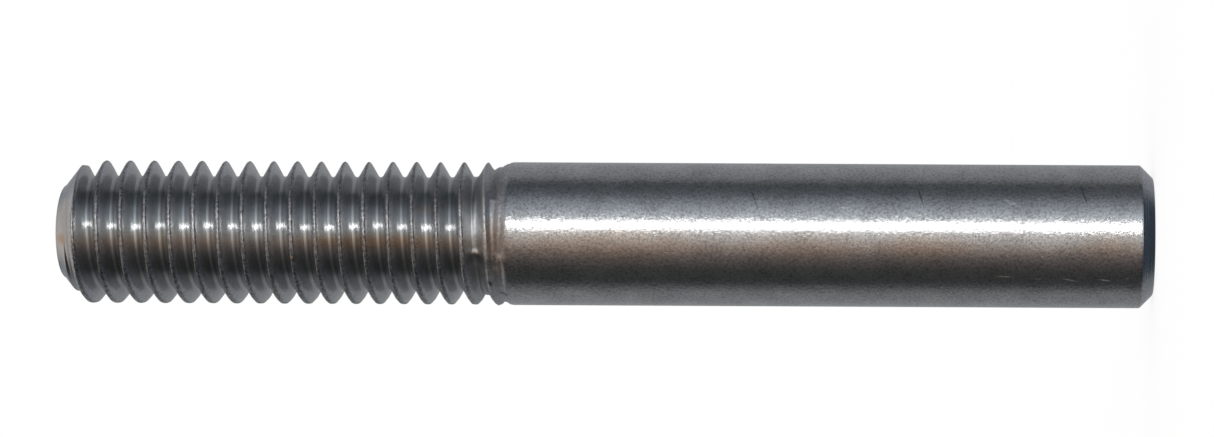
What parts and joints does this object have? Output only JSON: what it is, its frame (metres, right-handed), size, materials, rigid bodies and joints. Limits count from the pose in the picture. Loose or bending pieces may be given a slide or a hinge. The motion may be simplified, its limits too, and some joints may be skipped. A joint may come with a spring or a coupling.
{
  "type": "swage threaded stud",
  "caption": "Straight round stainless stud: a right-hand metric thread on one end, and a plain shank with a blind wire socket for swaging on the other.",
  "frame": {"origin": "middle of the swage end's face, where the stud stands", "axes": "+Z along the stud, from the swage end to the thread's end; +X and +Y across it"},
  "size_m": [0.006, 0.006, 0.0455],
  "materials": {
    "stainless_steel": "fine turned and drawn stainless, bright, with small marks"
  },
  "bodies": {
    "root": {"swage_stud": "stainless_steel"}
  },
  "joints": []
}
